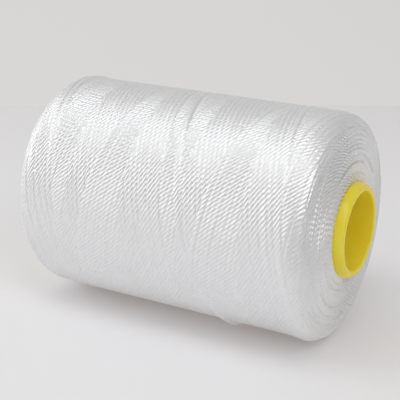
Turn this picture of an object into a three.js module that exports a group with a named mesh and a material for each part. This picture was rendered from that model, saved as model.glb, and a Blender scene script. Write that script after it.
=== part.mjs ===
// Spool of waxed sewing thread: a thin moulded tube with a rolled lip at each end, and a fat package
// of thread cross-wound on it. The spool lies on its side: X is its axis, Z is up, and the surface
// that it lies on is Z = 0. Sizes are in millimetres.
import * as THREE from 'three';

// Driving dimensions of the tube
const TUBE_LENGTH = 110;
const BORE_RADIUS = 12.5;
const TUBE_WALL = 1.5;
const LIP_RADIUS = 15;
const LIP_NOSE = 2.8; // length of the lip's rounded nose, from its widest place to the end face
const LIP_FLARE = 2; // length of the cone that leads from the plain tube out to the lip
const MOUTH_ROUND = 0.4; // radius of the bore's rounded mouth
const END_LAND = 0.8; // width of the flat ring on each end of the tube

// Driving dimensions of the thread package
const PACKAGE_RADIUS = 36;
const STRAIGHT_LENGTH = 85; // length over which the package keeps its full radius
const SHOULDER_LENGTH = 7.1; // along the axis, on each side of the straight length
const SHOULDER_DROP = 3.2; // how far the radius falls over the shoulder
const FACE_CROWN = 2; // how far the end face domes out from the shoulder to the lip
const GAP = 0.4; // running gap that touching solids keep

// The package is faceted, so that it lies on a flat side and comes to rest.
const PACKAGE_SIDES = 16;
const TUBE_SIDES = 48;
const SHOULDER_STEPS = 5;
const FACE_STEPS = 4;
const NOSE_STEPS = 6;
const MOUTH_STEPS = 3;

const tubeRadius = BORE_RADIUS + TUBE_WALL;
const tubeHalf = TUBE_LENGTH / 2;

// Points of a quarter ellipse: it starts level with its centre, straight above it in radius, and ends
// straight beside it along the spool's axis. Each point is [distance along the axis, radius].
function quarterEllipse(centreX, centreRadius, semiX, semiRadius, steps) {
  const points = [];
  for (let i = 0; i <= steps; i += 1) {
    const angle = (i / steps) * (Math.PI / 2);
    points.push([
      centreX + semiX * Math.sin(angle),
      centreRadius + semiRadius * Math.cos(angle),
    ]);
  }
  return points;
}

// Turns one half of a section about the spool's axis. The half runs from the middle of the piece's
// outside, round its +X end, to the middle of its bore. The other half is its mirror image.
// `flats` puts the middle of each facet at the stated radius, with a facet facing straight down.
// Without it, the corners are at the stated radius.
function turned(half, sides, flats) {
  const mirrored = half.map(([x, radius]) => [-x, radius]).reverse();
  const outline = [...mirrored, ...half];
  const corner = flats ? 1 / Math.cos(Math.PI / sides) : 1;
  const points = outline.map(([x, radius]) => new THREE.Vector2(radius * corner, x));
  points.push(points[0].clone());
  const geometry = new THREE.LatheGeometry(points, sides);
  if (flats) geometry.rotateY(Math.PI / sides);
  geometry.rotateZ(-Math.PI / 2);
  return geometry;
}

function named(name, geometry, material) {
  const mesh = new THREE.Mesh(geometry, new THREE.MeshStandardMaterial(material));
  mesh.name = name;
  mesh.position.z = PACKAGE_RADIUS;
  return mesh;
}

// The tube: plain in the middle, flared to a lip that is rounded over to a narrow flat end.
function coreTube() {
  const noseX = tubeHalf - LIP_NOSE;
  const landOuter = BORE_RADIUS + MOUTH_ROUND + END_LAND;
  const nose = quarterEllipse(noseX, landOuter, LIP_NOSE, LIP_RADIUS - landOuter, NOSE_STEPS);
  const mouthX = tubeHalf - MOUTH_ROUND;
  const mouthRadius = BORE_RADIUS + MOUTH_ROUND;
  const mouth = quarterEllipse(mouthX, mouthRadius, MOUTH_ROUND, -MOUTH_ROUND, MOUTH_STEPS);
  const half = [
    [noseX - LIP_FLARE, tubeRadius],
    ...nose,
    ...mouth.reverse(),
  ];
  return named('core_tube', turned(half, TUBE_SIDES, false), {
    color: 0xe3cf2c,
    roughness: 0.35,
    metalness: 0,
  });
}

// The thread package: a sleeve with rounded shoulders and slightly domed end faces. Its inner edge
// is cut back so that it clears the flare of the tube's lip.
function threadWinding() {
  const straightHalf = STRAIGHT_LENGTH / 2;
  const innerRadius = tubeRadius + GAP;
  const faceX = straightHalf + SHOULDER_LENGTH;
  const faceOuter = PACKAGE_RADIUS - SHOULDER_DROP;
  const faceInner = LIP_RADIUS + 2 * GAP;
  const shoulder = quarterEllipse(
    straightHalf,
    faceOuter,
    SHOULDER_LENGTH,
    SHOULDER_DROP,
    SHOULDER_STEPS,
  );
  const face = [];
  for (let i = 1; i <= FACE_STEPS; i += 1) {
    const t = i / FACE_STEPS;
    const radius = faceOuter + (faceInner - faceOuter) * t;
    face.push([faceX + FACE_CROWN * t * (2 - t), radius]);
  }
  const flareStart = tubeHalf - LIP_NOSE - LIP_FLARE;
  const half = [
    ...shoulder,
    ...face,
    [flareStart - GAP, innerRadius],
  ];
  return named('thread_winding', turned(half, PACKAGE_SIDES, true), {
    color: 0xeef0f3,
    roughness: 0.45,
    metalness: 0,
  });
}

const spool = new THREE.Group();
spool.name = 'waxed_thread_spool';
spool.add(coreTube(), threadWinding());

export default spool;
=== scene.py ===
"""Waxed thread spool lying on its side: its looks in Blender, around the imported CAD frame.

The thread is wound here as a winding machine lays it. Each course of a three-ply strand is laid, in
order, on a height map of the package, resting on whatever is under it, so that the crossings, the
bands where one lay covers the other, the ridges and the rounded shoulders come from the winding.
Sizes of the package and the tube are in millimetres. Those of the table, the lamps, the camera and
the materials are in metres, as Blender objects are.
"""

import math

import bpy
import numpy as np
from mathutils import Matrix, Vector


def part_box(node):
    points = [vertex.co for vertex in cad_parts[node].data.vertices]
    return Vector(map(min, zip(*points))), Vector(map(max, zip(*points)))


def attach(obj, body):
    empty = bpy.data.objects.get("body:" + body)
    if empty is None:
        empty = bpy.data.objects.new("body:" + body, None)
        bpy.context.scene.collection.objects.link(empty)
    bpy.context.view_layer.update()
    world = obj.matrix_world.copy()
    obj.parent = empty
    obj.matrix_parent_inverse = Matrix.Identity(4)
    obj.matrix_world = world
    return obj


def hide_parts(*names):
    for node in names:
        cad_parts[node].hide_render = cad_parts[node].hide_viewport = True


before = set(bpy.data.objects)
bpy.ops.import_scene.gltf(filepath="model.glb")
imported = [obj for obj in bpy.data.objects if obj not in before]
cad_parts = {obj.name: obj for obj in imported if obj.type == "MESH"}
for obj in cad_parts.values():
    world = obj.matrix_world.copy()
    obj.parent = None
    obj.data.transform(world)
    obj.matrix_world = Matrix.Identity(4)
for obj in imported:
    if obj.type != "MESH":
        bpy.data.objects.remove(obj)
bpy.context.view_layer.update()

MM = 0.001
SEED = 11

# The package and the tube, measured on the frame.
tube_low, tube_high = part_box("core_tube")
package_low, package_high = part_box("thread_winding")
AXIS_Z = (package_low.z + package_high.z) / 2 / MM
TUBE_HALF = (tube_high.x - tube_low.x) / 2 / MM
LIP_RADIUS = (tube_high.z - tube_low.z) / 2 / MM
PACKAGE_RADIUS = (package_high.z - package_low.z) / 2 / MM
PACKAGE_HALF = (package_high.x - package_low.x) / 2 / MM

# The tube's section.
LIP_WALL = 2.5
TUBE_WALL = 1.5
BORE_RADIUS = LIP_RADIUS - LIP_WALL
TUBE_RADIUS = BORE_RADIUS + TUBE_WALL
LIP_NOSE = 2.8  # length of the lip's rounded nose
LIP_FLARE = 2.0  # length over which the plain tube widens to the lip
FLARE_LEAD = 1.0  # from the last ring of the plain tube to the flare
LAND_REACH = 1.2  # from the bore to the outer edge of the flat end
MOUTH_ROUND = 0.5
BORE_RINGS = (50.0, 46.0, 40.0, 30.0, 20.0, 10.0)
FLARE_STEPS = 7
NOSE_STEPS = 14
MOUTH_STEPS = 8
TUBE_SIDES = 192

# The package's section: straight, then a rounded shoulder, then a slightly domed end face.
SHOULDER_LENGTH = 7.1
SHOULDER_DROP = 3.2
FACE_CROWN = 2.0
FACE_INNER = 0.1  # from the plain tube out to the face's inner edge
STRAIGHT_HALF = PACKAGE_HALF - FACE_CROWN - SHOULDER_LENGTH
SECTION_STEPS = 40  # in a shoulder, and in a face
NORMAL_REACH = 7  # rows over which the section's direction is softened
BULGE = 1.0  # how far a shoulder stands out where the turns at that end are loosest
BULGE_PLACE = 0.6  # share of the shoulder's length
BULGE_REACH = 3.2  # along the section
BULGE_ANGLES = {1: math.radians(-50), -1: math.radians(80)}  # on the near end and on the far end

# The thread: three plies laid in a Z twist, pressed a little flat on the package.
STRAND_HALF = 0.86  # half a strand's width, so that neighbours meet without a gap
STRAND_CROWN = 0.37  # how far a strand's middle stands over its edges
PLY_SQUARENESS = 2.2  # how flat a ply is between its grooves
PLY_DEPTH = 0.3  # depth of the grooves between plies
PLIES_ROUND = 134  # plies along a strand in one turn round the package
PLY_STEP = 2 * math.pi * (PACKAGE_RADIUS - PLY_DEPTH) / PLIES_ROUND
PLY_SCATTER = 0.3  # of a step, by which neighbours' plies are out of line with each other
PLY_SLANT = math.radians(36)  # of the plies to the strand
THICKNESS = 0.10  # how much each strand adds to what it lies on
FOOTPRINT = 0.6  # share of a strand's width that rests on what is under it
CLIMB = 0.12  # steepest slope of a taut strand over a crossing
BRIDGE = 5.0  # farthest that a crossing lifts the strand on each side of it
BEND_SOFTNESS = 6  # columns over which a strand's bends are softened

# The winding.
COURSES = 26  # strands side by side in one pitch of the helix
TURNS = 5  # turns of the package in one stroke out and back, before the shift to the next course
TRAVERSE_HALF = 51.6  # where a strand would turn back, along the section, if it turned on the spot
TURN_BEND = (2.4, 5.0)  # by how much it turns back sooner, from course to course
LAST_TURN = math.radians(-50)  # where on the near end the last course turns back
ROUNDS = 4  # how many times the courses go all round the package
STROKE_LOSS = 0.9  # by how much the strokes get shorter from one round to the next
SPIRAL_PITCH = 1.3  # between the turns seen on an end face
SPIRAL_OVERLAP = 6.0  # how far the spiral goes on under the courses
SPIRAL_WANDER = 0.15
WANDER_WAVES = (1, 2, 3)  # waves round the package, which add up to a strand's wander
WANDER_PHASE = 6.28  # a wave starts anywhere in a full turn
SETTLE_REACH = 1.5  # along and round, of the unevenness that the winding presses out
SETTLE_EVERY = 9  # courses
LOOSE = 0.12  # share of that unevenness which stays
ROUGH_REACH = 1.4  # over which roughness is pressed down to the package's own
END_RELIEF = 1.2  # by how much more the strands stand out on the end faces, to look as in the photo
END_START = 50.0  # where that begins, along the section
END_RAMP = 6.0  # over which it grows
SLEEVE_INSET = 1.5  # from the end faces to where the sleeve's inside begins
SLEEVE_STEPS = 12
SLEEVE_GAP = 0.03  # between the sleeve's inside and the tube

# The strand that was laid last: it crosses the package faster than the others and lies on top.
STRAY_RATE = 8.2  # along the axis, for each radian round it
STRAY_PLACE = 15.1
STRAY_ANGLE = math.radians(-20)
SLACK_LIFT = 1.3  # how far its slack stands off, low on the front
SLACK_START = math.radians(-10)  # where round the package it begins to stand off
SLACK_PEAK = math.radians(-62)
SLACK_END = math.radians(-78)
SLACK_HALF = 1.2
SLACK_EDGE = 2.1  # from its middle to the crease beside it
CREASE_DEPTH = 0.22
CREASE_HALF = 0.5
CREASE_ANGLE = math.radians(72)  # of the crease on its near side, over the top
CREASE_REACH = math.radians(28)

# The height map.
ROW_STEP = 0.2
ROW_MARGIN = 2  # rows laid beyond a strand's edges
COLUMNS = 960
COLUMN_ANGLE = 2 * math.pi / COLUMNS

# The thread's material.
STREAK_SCALES = (0.55, 4.0, 37.0)  # along the strand, across a ply, and from strand to strand
THREAD_DARK = (0.72, 0.73, 0.75, 1)
THREAD_LIGHT = (0.84, 0.845, 0.855, 1)
# Painted shade: the colour that the thread is darkened towards in the grooves between the plies.
GROOVE_PAINTED_SHADE = (0.50, 0.505, 0.53, 1)
GROOVE_SHADE_EDGES = (0.45, 1.0)  # across a ply, from its middle to its groove
GROOVE_SHADE_SHARE = 0.6  # of the painted groove shade at the bottom of a groove
THREAD_ROUGHNESS = (0.38, 0.52)

# The tube's material.
PLASTIC_DARK = (0.91, 0.73, 0.03, 1)
PLASTIC_LIGHT = (0.94, 0.80, 0.06, 1)
PLASTIC_ROUGHNESS = (0.26, 0.42)

# The camera, placed as the photo's.
CAMERA_AZIMUTH = math.radians(-61.0)
CAMERA_HEIGHT_ANGLE = math.radians(20.4)
CAMERA_DISTANCE = 342 * MM
CAMERA_CLIP = 0.01
FIELD = 2.585  # focal length over frame width
SENSOR = 36  # the frame's width, in millimetres
FRAME_SHIFT = (-1.008 * MM, 0.378 * MM)  # of the point it looks at from the spool's middle

# The table.
TABLE_COLOUR = (0.79, 0.80, 0.83)
TABLE_ROUGHNESS = 0.6
TABLE_PAINTED_GLOW = 0.115  # painted light: a faint glow of the table, which lightens its shadows and the spool's underside
TABLE_EDGE = 0.253  # behind the spool
TABLE_SIZE = 6.0
TABLE_DROP = 0.0003  # under the CAD's foot, just clear of the lowest strands

# The lamps: name, direction from the spool, distance, size, power in watts and colour.
LAMPS = (
    ("key", (0.0, -0.30, 0.95), 0.79, (0.6, 0.34), 1.55, (0.97, 0.985, 1.0)),
    ("side", (-0.77, -0.40, 0.48), 0.8, (0.5, 0.4), 1.1, (0.97, 0.985, 1.0)),
    ("right", (0.60, -0.40, 0.70), 0.8, (0.3, 0.3), 1.0, (1.0, 0.99, 0.98)),
)

# The studio around them.
WORLD_COLOUR = (1.0, 0.985, 0.975, 1)
DARK_SIDE = (0.62, -0.40, 0.67)  # the direction in which it is darkest
BRIGHT_WORLD = 1.06  # its strength in the opposite direction
DARK_WORLD = 0.30  # its strength in the dark direction
WALL = 0.66  # how bright the studio is behind the table, against the rest
WALL_EDGES = (0.2, 0.9)  # where it starts and ends darkening: cosines of the angle from behind


# ---------------------------------------------------------------- winding the package


def package_section():
    """The package's outline from the tube at the far end to the tube at the near end, as points of
    (distance along the axis, radius)."""
    body = PACKAGE_RADIUS - PLY_DEPTH
    angle = np.linspace(0, math.pi / 2, SECTION_STEPS)
    shoulder_x = STRAIGHT_HALF + SHOULDER_LENGTH * np.sin(angle)
    shoulder_r = body - SHOULDER_DROP * (1 - np.cos(angle))
    t = np.linspace(0, 1, SECTION_STEPS)[1:]
    face_x = shoulder_x[-1] + FACE_CROWN * t * (2 - t)
    face_r = shoulder_r[-1] + (TUBE_RADIUS + FACE_INNER - shoulder_r[-1]) * t
    x = np.concatenate([[0], shoulder_x, face_x])
    r = np.concatenate([[body], shoulder_r, face_r])
    half = np.stack([x, r], 1)
    return np.concatenate([half[:0:-1] * (-1, 1), half])


def running_mean(values, reach):
    """A soft running mean along the first axis, over reach steps on each side."""
    kernel = np.hanning(2 * reach + 3)[1:-1]
    kernel /= kernel.sum()
    padded = np.pad(values, [(reach, reach)] + [(0, 0)] * (values.ndim - 1), "edge")
    count = len(values)
    return sum(weight * padded[k : k + count] for k, weight in enumerate(kernel))


def mean_around(values, reach):
    """A soft running mean of the height map, over reach millimetres along and round the package."""
    rows = int(reach / ROW_STEP)
    columns = int(reach / (PACKAGE_RADIUS * COLUMN_ANGLE))
    wrapped = np.concatenate([values[:, -columns:], values, values[:, :columns]], 1)
    return running_mean(running_mean(wrapped, rows).T, columns).T[:, columns:-columns]


def section_rows():
    """Rows of the height map: their place along the section, and each row's point and normal."""
    section = package_section()
    run = np.concatenate([[0], np.cumsum(np.hypot(*np.diff(section, axis=0).T))])
    s = np.linspace(0, run[-1], int(run[-1] / ROW_STEP) + 1)
    x = np.interp(s, run, section[:, 0])
    r = np.interp(s, run, section[:, 1])
    dx = running_mean(np.gradient(x), NORMAL_REACH)
    dr = running_mean(np.gradient(r), NORMAL_REACH)
    size = np.hypot(dx, dr)
    return s - run[-1] / 2, x, r, -dr / size, dx / size


def strand_top(across, along):
    """Height of a strand's surface over its edges, and the place across its ply, from -1 at one
    groove to 1 at the next."""
    crown = np.sqrt(np.clip(1 - (across / STRAND_HALF) ** 2, 0, 1))
    ply = 2 * ((across / math.tan(PLY_SLANT) - along) / PLY_STEP % 1) - 1
    return STRAND_CROWN * crown - PLY_DEPTH * np.abs(ply) ** PLY_SQUARENESS, ply


def taut(bed, step):
    """The line of a taut strand over a bed: it bridges dips and climbs no steeper than CLIMB."""
    line = bed.copy()
    reach = min(int(BRIDGE / step), len(bed) - 1)
    padded = np.pad(bed, reach, "edge")
    for k in range(1, reach):
        fall = CLIMB * k * step
        line = np.maximum(line, padded[reach - k : len(padded) - reach - k] - fall)
        line = np.maximum(line, padded[reach + k : len(padded) - reach + k] - fall)
    return running_mean(line, BEND_SOFTNESS)


class Package:
    """A height map on the section's rows and COLUMNS round the axis, and the strand seen there."""

    def __init__(self):
        self.s, self.x, self.r, self.normal_x, self.normal_r = section_rows()
        self.height = np.zeros((len(self.s), COLUMNS))
        self.along = np.zeros_like(self.height)
        self.side = np.zeros_like(self.height)
        self.tone = np.zeros_like(self.height)
        self.random = np.random.default_rng(SEED)

    def lay(self, path, first_column):
        """Lays one stretch of strand. path holds its place along the section at each column in
        turn, and it is at most one turn long."""
        columns = (first_column + np.arange(len(path))) % COLUMNS
        step = np.interp(path, self.s, self.r) * COLUMN_ANGLE
        slant = np.arctan(np.gradient(path) / step)
        length = np.cumsum(np.hypot(np.gradient(path), step))
        # Plies nest beside those of the strand alongside.
        scatter = self.random.uniform(0, PLY_SCATTER)
        length += PLY_STEP * (first_column / COLUMNS * PLIES_ROUND + scatter)
        reach = int(STRAND_HALF / math.cos(np.abs(slant).max()) / ROW_STEP) + ROW_MARGIN
        nearest = np.round((path - self.s[0]) / ROW_STEP).astype(int)
        rows = nearest[None, :] + np.arange(-reach, reach + 1)[:, None]
        rows = np.clip(rows, 0, len(self.s) - 1)
        offset = self.s[rows] - path[None, :]
        across = offset * np.cos(slant)
        along = length[None, :] + offset * np.sin(slant)
        under = self.height[rows, columns[None, :]]
        footprint = np.abs(across) < FOOTPRINT * STRAND_HALF
        bed = np.where(footprint, under, 0).sum(0) / np.maximum(footprint.sum(0), 1)
        top, side = strand_top(across, along)
        top += taut(bed, step.mean())[None, :] + THICKNESS
        seen = (np.abs(across) < STRAND_HALF) & (top > under)
        at = (rows[seen], np.broadcast_to(columns, rows.shape)[seen])
        self.height[at] = top[seen]
        self.along[at] = along[seen]
        self.side[at] = side[seen]
        self.tone[at] = self.random.uniform(0, 1)

    def settle(self):
        """Presses out the wide unevenness of the crossings, so that the package keeps its section."""
        wide = mean_around(self.height, SETTLE_REACH)
        wide_mean = wide.mean(1, keepdims=True)
        self.height += LOOSE * (wide - wide_mean) - wide

    def press(self):
        """Presses the surface where it is rougher than most of the package, as at the ends."""
        rough = np.sqrt(mean_around(self.height**2, ROUGH_REACH))
        self.height *= np.minimum(1, np.median(rough) / rough)

    def raise_ends(self):
        """Lets the strands stand out more on the end faces."""
        end = np.clip((np.abs(self.s[:, None]) - END_START) / END_RAMP, 0, 1)
        self.height *= 1 + END_RELIEF * end

    def loosen(self):
        """Lets the slack turns stand out: the last strand low on the front, and the shoulders."""
        angle = (np.arange(COLUMNS) * COLUMN_ANGLE - STRAY_ANGLE + math.pi) % (2 * math.pi) - math.pi
        across = self.x[:, None] - STRAY_PLACE + STRAY_RATE * angle
        angle += STRAY_ANGLE
        slack = np.interp(angle, (SLACK_END, SLACK_PEAK, SLACK_START), (0, 1, 0))
        self.height += SLACK_LIFT * slack**2 * np.exp(-((across / SLACK_HALF) ** 2))
        both = np.exp(-(((np.abs(across) - SLACK_EDGE) / CREASE_HALF) ** 2))
        near = np.exp(-(((across - STRAND_HALF - CREASE_HALF) / CREASE_HALF) ** 2))
        over = np.exp(-(((angle - CREASE_ANGLE) / CREASE_REACH) ** 2))
        self.height -= CREASE_DEPTH * (np.sqrt(slack) * both + over * near)
        for end, middle in BULGE_ANGLES.items():
            place = end * self.x - STRAIGHT_HALF - BULGE_PLACE * SHOULDER_LENGTH
            swell = np.exp(-((place / BULGE_REACH) ** 2))
            share = np.clip(np.cos(angle - middle), 0, 1)
            self.height += BULGE * swell[:, None] * share


def course_path(turn_angle, angle, reach, near_bend, far_bend):
    """Place along the section of a course that turns back on the near end at turn_angle."""
    per_stroke = math.pi * (TURNS + 1 / COURSES)
    rate = 2 * reach / per_stroke
    from_near = np.abs(angle - turn_angle)
    near = reach - np.hypot(rate * from_near, near_bend)
    far = np.hypot(rate * (per_stroke - from_near), far_bend) - reach
    return np.where(from_near < per_stroke / 2, near, far)


def wander(random, angle, size):
    """A slow, smooth wander round the package."""
    return sum(
        size / waves * np.sin(waves * angle + random.uniform(0, WANDER_PHASE))
        for waves in WANDER_WAVES
    )


def wind_face(package, face):
    """Lays the turns seen on an end face, from the tube out to the shoulder."""
    angle = np.arange(COLUMNS) * COLUMN_ANGLE
    innermost = package.s[-1] - STRAND_HALF
    place = innermost
    while place > TRAVERSE_HALF - SPIRAL_OVERLAP:
        spiral = place - SPIRAL_PITCH * angle / (2 * math.pi)
        path = np.minimum(spiral + wander(package.random, angle, SPIRAL_WANDER), innermost)
        package.lay(face * path, int(package.random.integers(COLUMNS)))
        place -= SPIRAL_PITCH


def wind_courses(package):
    """Lays the strokes out and back, the newest last."""
    per_course = 2 * math.pi * (TURNS + 1 / COURSES)
    total = int(round(per_course / COLUMN_ANGLE))
    count = ROUNDS * COURSES
    for course in range(count):
        turn = LAST_TURN - (count - 1 - course) * per_course
        reach = TRAVERSE_HALF + STROKE_LOSS * (count - 1 - course) / COURSES
        near_bend, far_bend = package.random.uniform(*TURN_BEND, 2)
        start = int(round((turn - per_course / 2) / COLUMN_ANGLE))
        for done in range(0, total, COLUMNS):
            angle = (start + np.arange(done, min(done + COLUMNS, total))) * COLUMN_ANGLE
            package.lay(course_path(turn, angle, reach, near_bend, far_bend), start + done)
        if course % SETTLE_EVERY == 0:
            package.settle()


def wind_stray(package):
    """Lays the last strand, from the near shoulder to the far one."""
    first = STRAY_ANGLE - (STRAIGHT_HALF - STRAY_PLACE) / STRAY_RATE
    last = STRAY_ANGLE + (STRAIGHT_HALF + STRAY_PLACE) / STRAY_RATE
    columns = np.arange(int(first / COLUMN_ANGLE), int(last / COLUMN_ANGLE))
    for done in range(0, len(columns), COLUMNS):
        some = columns[done : done + COLUMNS]
        path = STRAY_PLACE - STRAY_RATE * (some * COLUMN_ANGLE - STRAY_ANGLE)
        package.lay(path, int(some[0]))


def grid_faces(rows, columns):
    """Quads of a grid that closes on itself both ways."""
    i, j = np.meshgrid(np.arange(rows), np.arange(columns), indexing="ij")
    i2, j2 = (i + 1) % rows, (j + 1) % columns
    quads = np.stack([i * columns + j, i * columns + j2, i2 * columns + j2, i2 * columns + j], -1)
    return quads.reshape(-1, 4)


def mesh_object(name, points, quads):
    """A smooth-shaded object of quads."""
    mesh = bpy.data.meshes.new(name)
    mesh.vertices.add(len(points))
    mesh.vertices.foreach_set("co", np.asarray(points, np.float32).ravel())
    mesh.loops.add(quads.size)
    mesh.loops.foreach_set("vertex_index", quads.ravel().astype(np.int32))
    mesh.polygons.add(len(quads))
    mesh.polygons.foreach_set("loop_start", np.arange(0, quads.size, 4, dtype=np.int32))
    mesh.polygons.foreach_set("use_smooth", np.ones(len(quads), bool))
    mesh.update(calc_edges=True)
    mesh.validate()
    obj = bpy.data.objects.new(name, mesh)
    bpy.context.scene.collection.objects.link(obj)
    return obj


def on_axis(x, radius, angle):
    """Points in metres from places along and round the spool's axis. Angle 0 faces -Y."""
    return MM * np.stack([x, -radius * np.cos(angle), AXIS_Z + radius * np.sin(angle)], -1)


def thread_package():
    package = Package()
    wind_face(package, -1)
    wind_face(package, 1)
    wind_courses(package)
    wind_stray(package)
    package.settle()
    package.press()
    package.raise_ends()
    package.loosen()
    angle = np.arange(COLUMNS) * COLUMN_ANGLE
    x = package.x[:, None] + package.normal_x[:, None] * package.height
    radius = package.r[:, None] + package.normal_r[:, None] * package.height
    # The sleeve closes along the tube, under the thread.
    inner_end = min(-x[0].max(), x[-1].min()) - SLEEVE_INSET
    inner_x = np.linspace(inner_end, -inner_end, SLEEVE_STEPS)
    x = np.concatenate([x, np.repeat(inner_x[:, None], COLUMNS, 1)])
    inner = np.full((SLEEVE_STEPS, COLUMNS), TUBE_RADIUS + SLEEVE_GAP)
    radius = np.concatenate([radius, inner])
    points = on_axis(x, radius, angle[None, :])
    rows = len(x)
    obj = mesh_object("thread_package", points.reshape(-1, 3), grid_faces(rows, COLUMNS))
    # The material follows the strand seen at each point.
    strand = np.zeros((rows, COLUMNS, 3), np.float32)
    strand[: len(package.s), :, 0] = package.along
    strand[: len(package.s), :, 1] = package.side
    strand[: len(package.s), :, 2] = package.tone
    layer = obj.data.attributes.new("strand", "FLOAT_VECTOR", "POINT")
    layer.data.foreach_set("vector", strand.ravel())
    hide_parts("thread_winding")
    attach(obj, "root")
    return obj


# ---------------------------------------------------------------- the tube


def tube_section():
    """Closed outline of the tube's wall: points of (distance along the axis, radius)."""
    land = BORE_RADIUS + LAND_REACH
    nose_x = TUBE_HALF - LIP_NOSE
    flare_x = nose_x - LIP_FLARE
    half = [(0.0, TUBE_RADIUS), (flare_x - FLARE_LEAD, TUBE_RADIUS)]
    for t in np.linspace(0, 1, FLARE_STEPS)[1:-1]:
        ease = t * t * (3 - 2 * t)
        half.append((flare_x + LIP_FLARE * t, TUBE_RADIUS + (LIP_RADIUS - TUBE_RADIUS) * ease))
    for angle in np.linspace(0, math.pi / 2, NOSE_STEPS):
        along = nose_x + LIP_NOSE * math.sin(angle)
        half.append((along, land + (LIP_RADIUS - land) * math.cos(angle)))
    for angle in np.linspace(0, math.pi / 2, MOUTH_STEPS):
        along = TUBE_HALF - MOUTH_ROUND + MOUTH_ROUND * math.cos(angle)
        half.append((along, BORE_RADIUS + MOUTH_ROUND - MOUTH_ROUND * math.sin(angle)))
    half += [(x, BORE_RADIUS) for x in BORE_RINGS]
    half = np.array(half)
    return np.concatenate([half, half[:0:-1] * (-1, 1)])


def yellow_tube():
    section = tube_section()
    angle = np.arange(TUBE_SIDES) * 2 * math.pi / TUBE_SIDES
    x = np.repeat(section[:, :1], TUBE_SIDES, 1)
    radius = np.repeat(section[:, 1:], TUBE_SIDES, 1)
    points = on_axis(x, radius, angle[None, :])
    quads = grid_faces(len(section), TUBE_SIDES)[:, ::-1]
    obj = mesh_object("yellow_tube", points.reshape(-1, 3), quads)
    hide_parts("core_tube")
    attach(obj, "root")
    return obj


# ---------------------------------------------------------------- materials


def new_material(name, **values):
    """A material, its node tree and its shader. A socket's name has _ in place of its spaces."""
    material = bpy.data.materials.new(name)
    material.use_nodes = True
    shader = material.node_tree.nodes["Principled BSDF"]
    for key, value in values.items():
        shader.inputs[key.replace("_", " ")].default_value = value
    return material, material.node_tree, shader


def add(tree, kind, **values):
    """A new node. Each value is set on the input of that name, or else on the node itself."""
    node = tree.nodes.new(kind)
    for key, value in values.items():
        if key in node.inputs:
            node.inputs[key].default_value = value
        else:
            setattr(node, key, value)
    return node


def mapped(tree, value, source, target, kind="LINEAR"):
    """The value mapped from the range source to the range target."""
    node = add(tree, "ShaderNodeMapRange", interpolation_type=kind)
    tree.links.new(value, node.inputs["Value"])
    sockets = ("From Min", "From Max", "To Min", "To Max")
    for socket, number in zip(sockets, (*source, *target)):
        node.inputs[socket].default_value = number
    return node.outputs["Result"]


def ramp(tree, value, first, last):
    """The value turned into a colour. first and last hold a position and the colour there."""
    node = add(tree, "ShaderNodeValToRGB")
    for stop, (position, colour) in zip(node.color_ramp.elements, (first, last)):
        stop.position = position
        stop.color = colour
    tree.links.new(value, node.inputs["Fac"])
    return node.outputs["Color"]


def set_relief(tree, shader, height, strength, distance):
    """Fine relief, too small for the mesh."""
    bump = add(tree, "ShaderNodeBump", Strength=strength, Distance=distance)
    tree.links.new(height, bump.inputs["Height"])
    tree.links.new(bump.outputs[0], shader.inputs["Normal"])


def thread_material():
    """Silky filaments that run along the plies, with a thin coat of wax."""
    material, tree, shader = new_material(
        "waxed_filament_thread",
        IOR=3.4,
        Specular_IOR_Level=1.0,
        Subsurface_Weight=0.3,
        Subsurface_Radius=(0.0010, 0.0010, 0.0011),
        Subsurface_Scale=1.0,
        Sheen_Weight=0.6,
        Sheen_Roughness=0.5,
        Coat_Weight=0.4,
        Coat_Roughness=0.3,
    )
    link = tree.links.new
    strand = add(tree, "ShaderNodeAttribute", attribute_name="strand")
    parts = add(tree, "ShaderNodeSeparateXYZ")
    link(strand.outputs["Vector"], parts.inputs["Vector"])
    # Long, narrow streaks.
    place = add(tree, "ShaderNodeCombineXYZ")
    for axis, scale in zip("XYZ", STREAK_SCALES):
        scaled = add(tree, "ShaderNodeMath", operation="MULTIPLY")
        link(parts.outputs[axis], scaled.inputs[0])
        scaled.inputs[1].default_value = scale
        link(scaled.outputs[0], place.inputs[axis])
    streaks = add(tree, "ShaderNodeTexNoise", Scale=1.0, Detail=3.0, Roughness=0.6)
    link(place.outputs[0], streaks.inputs["Vector"])
    colour = ramp(tree, streaks.outputs[0], (0.25, THREAD_DARK), (0.75, THREAD_LIGHT))
    # Painted shade: the base colour darkens towards the grooves between the plies, where little light
    # comes back.
    edge = add(tree, "ShaderNodeMath", operation="ABSOLUTE")
    link(parts.outputs["Y"], edge.inputs[0])
    groove = mapped(tree, edge.outputs[0], GROOVE_SHADE_EDGES, (0.0, GROOVE_SHADE_SHARE), "SMOOTHSTEP")
    shaded = add(tree, "ShaderNodeMix", data_type="RGBA")
    link(groove, shaded.inputs["Factor"])
    link(colour, shaded.inputs["A"])
    shaded.inputs["B"].default_value = GROOVE_PAINTED_SHADE
    link(shaded.outputs["Result"], shader.inputs["Base Color"])
    gloss = mapped(tree, streaks.outputs[0], (0.0, 1.0), THREAD_ROUGHNESS)
    link(gloss, shader.inputs["Roughness"])
    set_relief(tree, shader, streaks.outputs[0], strength=0.35, distance=0.00008)
    return material


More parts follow.
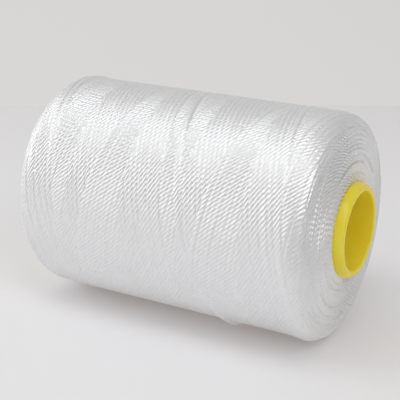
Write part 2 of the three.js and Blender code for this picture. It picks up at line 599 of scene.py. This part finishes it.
def plastic_material():
    """Moulded plastic that lets a little light through, which its faint glow stands for."""
    material, tree, shader = new_material(
        "yellow_plastic",
        Subsurface_Weight=0.25,
        Subsurface_Radius=(0.0020, 0.0014, 0.0004),
        Subsurface_Scale=1.0,
        Emission_Color=(1.0, 0.80, 0.02, 1),
        Emission_Strength=0.03,
    )
    link = tree.links.new
    where = add(tree, "ShaderNodeTexCoord")
    cloud = add(tree, "ShaderNodeTexNoise", Scale=90.0, Detail=4.0, Roughness=0.55)
    link(where.outputs["Object"], cloud.inputs["Vector"])
    colour = ramp(tree, cloud.outputs[0], (0.3, PLASTIC_DARK), (0.7, PLASTIC_LIGHT))
    link(colour, shader.inputs["Base Color"])
    fine = add(tree, "ShaderNodeTexNoise", Scale=700.0, Detail=2.0)
    link(where.outputs["Object"], fine.inputs["Vector"])
    gloss = mapped(tree, fine.outputs[0], (0.0, 1.0), PLASTIC_ROUGHNESS)
    link(gloss, shader.inputs["Roughness"])
    set_relief(tree, shader, fine.outputs[0], strength=0.15, distance=0.0001)
    return material


# ---------------------------------------------------------------- camera, table and light


def set_camera():
    """Places the camera. Returns the level direction away from it and the one to its right."""
    back = Vector(
        (
            math.cos(CAMERA_AZIMUTH) * math.cos(CAMERA_HEIGHT_ANGLE),
            math.sin(CAMERA_AZIMUTH) * math.cos(CAMERA_HEIGHT_ANGLE),
            math.sin(CAMERA_HEIGHT_ANGLE),
        )
    )
    right = Vector((-math.sin(CAMERA_AZIMUTH), math.cos(CAMERA_AZIMUTH), 0))
    up = back.cross(right)
    centre = Vector((0, 0, AXIS_Z * MM)) + right * FRAME_SHIFT[0] + up * FRAME_SHIFT[1]
    data = bpy.data.cameras.new("camera")
    data.sensor_width = SENSOR
    data.lens = SENSOR * FIELD
    data.clip_start = CAMERA_CLIP
    camera = bpy.data.objects.new("camera", data)
    camera.location = centre + back * CAMERA_DISTANCE
    camera.rotation_euler = back.to_track_quat("Z", "Y").to_euler()
    bpy.context.scene.collection.objects.link(camera)
    bpy.context.scene.camera = camera
    away = Vector((-back.x, -back.y, 0)).normalized()
    return away, right


def set_table(away, side):
    """A pale table, which ends behind the spool as the camera sees it."""
    table, _, _ = new_material(
        "pale_table",
        Base_Color=(*TABLE_COLOUR, 1),
        Roughness=TABLE_ROUGHNESS,
        # Painted light: a faint warm glow that lightens the table's shadows and the spool's
        # underside.
        Emission_Color=(1.0, 0.87, 0.74, 1),
        Emission_Strength=TABLE_PAINTED_GLOW,
    )
    edge = away * TABLE_EDGE - Vector((0, 0, TABLE_DROP))
    across, along = side * TABLE_SIZE / 2, away * TABLE_SIZE
    corners = [edge - across - along, edge + across - along, edge + across, edge - across]
    mesh = bpy.data.meshes.new("table")
    mesh.from_pydata([tuple(corner) for corner in corners], [], [(0, 1, 2, 3)])
    mesh.materials.append(table)
    obj = bpy.data.objects.new("table", mesh)
    bpy.context.scene.collection.objects.link(obj)


def area_light(name, direction, distance, size, power, colour):
    """A lamp that faces the spool's middle, with its first side square to the Y axis."""
    data = bpy.data.lights.new(name, "AREA")
    data.shape = "RECTANGLE"
    data.size, data.size_y = size
    data.energy = power
    data.color = colour
    lamp = bpy.data.objects.new(name, data)
    back = Vector(direction).normalized()
    side = Vector((0, 1, 0)).cross(back).normalized()
    lamp.location = Vector((0, 0, AXIS_Z * MM)) + distance * back
    lamp.rotation_euler = Matrix((side, back.cross(side), back)).transposed().to_euler()
    bpy.context.scene.collection.objects.link(lamp)


def facing(tree, where, direction):
    """How far a direction of the studio lies towards the stated one, from -1 to 1."""
    node = add(tree, "ShaderNodeVectorMath", operation="DOT_PRODUCT")
    tree.links.new(where.outputs["Generated"], node.inputs[0])
    node.inputs[1].default_value = direction
    return node.outputs["Value"]


def set_light(away):
    for lamp in LAMPS:
        area_light(*lamp)
    world = bpy.data.worlds.new("studio")
    world.use_nodes = True
    tree = world.node_tree
    background = tree.nodes["Background"]
    background.inputs["Color"].default_value = WORLD_COLOUR
    where = add(tree, "ShaderNodeTexCoord")
    # The studio is darker on the side that the near end faces.
    front = facing(tree, where, DARK_SIDE)
    strength = mapped(tree, front, (-1.0, 1.0), (BRIGHT_WORLD, DARK_WORLD), "SMOOTHSTEP")
    # Behind the table it is as dark as a pale wall.
    behind = facing(tree, where, away)
    wall = mapped(tree, behind, WALL_EDGES, (1.0, WALL), "SMOOTHSTEP")
    both = add(tree, "ShaderNodeMath", operation="MULTIPLY")
    tree.links.new(strength, both.inputs[0])
    tree.links.new(wall, both.inputs[1])
    tree.links.new(both.outputs["Value"], background.inputs["Strength"])
    bpy.context.scene.world = world
    bpy.context.scene.view_settings.view_transform = "Standard"


# ---------------------------------------------------------------- the scene

away, side = set_camera()
set_table(away, side)
set_light(away)
thread = thread_package()
thread.data.materials.append(thread_material())
tube = yellow_tube()
tube.data.materials.append(plastic_material())
